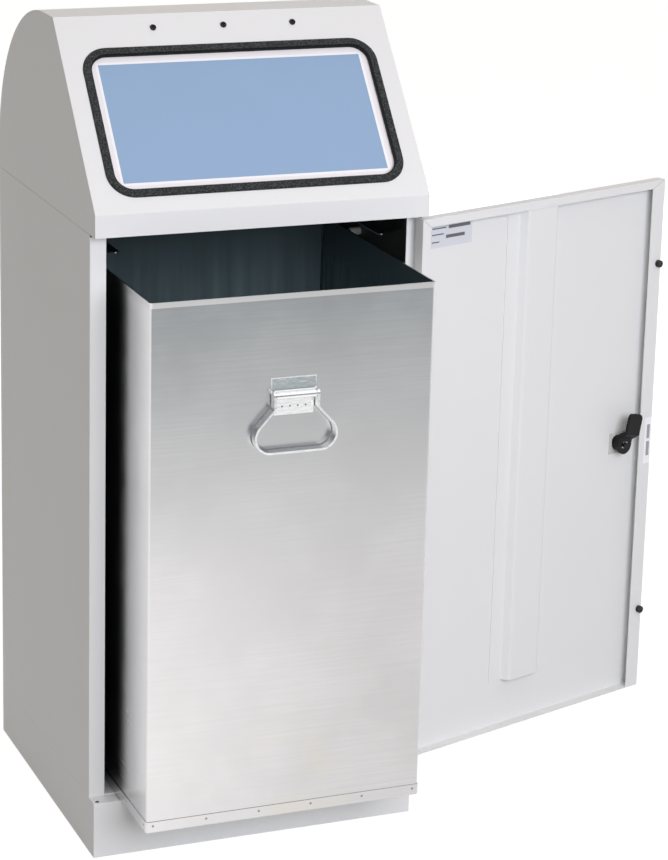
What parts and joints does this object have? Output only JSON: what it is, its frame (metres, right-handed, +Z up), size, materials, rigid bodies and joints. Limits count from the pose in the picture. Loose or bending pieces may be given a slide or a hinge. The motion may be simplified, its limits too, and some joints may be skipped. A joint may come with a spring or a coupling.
{
  "type": "recycling bin",
  "caption": "Steel waste sorting cabinet with a round-backed hood, sprung feed flap, open hinged door with a cam lock, and a pull-out galvanised inner bin with a drop handle.",
  "frame": {"origin": "centre of the plinth's underside, on the floor", "axes": "+X to the right of the front, +Y to the back, +Z up"},
  "size_m": [0.771, 0.5039, 0.962],
  "materials": {
    "body_grey": "light grey powder coat, satin",
    "flap_white": "white powder coat, satin",
    "label_blue": "pale blue sheet, matt",
    "trim_black": "black rubber, matt",
    "galvanised": "galvanised sheet, soft sheen",
    "plated_steel": "zinc plated steel, soft sheen",
    "dark_screws": "blackened steel, satin",
    "nylon_white": "white nylon, satin",
    "lock_zinc": "plated zinc casting, bright",
    "cam_black": "black glass-filled nylon, satin"
  },
  "bodies": {
    "cabinet": {"base_plinth": "body_grey", "plinth_bottom": "galvanised", "cabinet_floor": "body_grey", "left_side_wall": "body_grey", "right_side_wall": "body_grey", "back_wall": "body_grey", "hood_left_cheek": "body_grey", "hood_right_cheek": "body_grey", "hood_front_panel": "body_grey", "hood_roll_back": "body_grey", "seam_straps": "plated_steel", "rim_tabs": "plated_steel", "wall_studs": "nylon_white", "bin_guides": "plated_steel", "opening_trim": "trim_black", "flap_fixed_leaf": "plated_steel", "flap_hinge_pin": "plated_steel", "flap_spring": "plated_steel", "flap_hinge_screws": "dark_screws", "door_pivot_pins": "plated_steel"},
    "door": {"door_panel": "body_grey", "door_stiffener": "body_grey", "door_bushes": "nylon_white", "door_buffers": "trim_black", "lock_housing": "lock_zinc", "lock_clip": "plated_steel"},
    "cam": {"lock_core": "lock_zinc", "lock_cam": "cam_black", "cam_screw": "plated_steel"},
    "bin": {"bin_shell": "galvanised", "bin_base": "galvanised", "handle_plate": "plated_steel"},
    "handle": {"handle_bail": "plated_steel"},
    "flap": {"flap_panel": "flap_white", "flap_label": "label_blue", "flap_moving_leaf": "plated_steel"}
  },
  "joints": [
    {"name": "door_hinge", "type": "hinge", "parent": "cabinet", "child": "door", "pos_m": [0.194, -0.1915, 0], "axis": [0, 0, 1], "range_deg": [-198, 20]},
    {"name": "cam_turn", "type": "hinge", "parent": "door", "child": "cam", "pos_m": [0.52388, -0.09031, 0.4055], "axis": [0.309, -0.9511, 0], "range_deg": [-78, 12]},
    {"name": "bin_slide", "type": "slide", "parent": "cabinet", "child": "bin", "axis": [0, -1, 0], "range_m": [-0.13641, 0.01379]},
    {"name": "handle_swing", "type": "hinge", "parent": "bin", "child": "handle", "pos_m": [0, -0.3014, 0.577], "axis": [-1, 0, 0], "range_deg": [0, 175]},
    {"name": "flap_hinge", "type": "hinge", "parent": "cabinet", "child": "flap", "pos_m": [0, -0.05228, 0.93032], "axis": [1, 0, 0], "range_deg": [0, 60], "stiffness_Nm_per_rad": 0.8, "springref_deg": -68.75}
  ],
  "couplings": [
    {"joint": "bin_slide", "follows": "door_hinge", "m_per_rad": 0.03947}
  ]
}
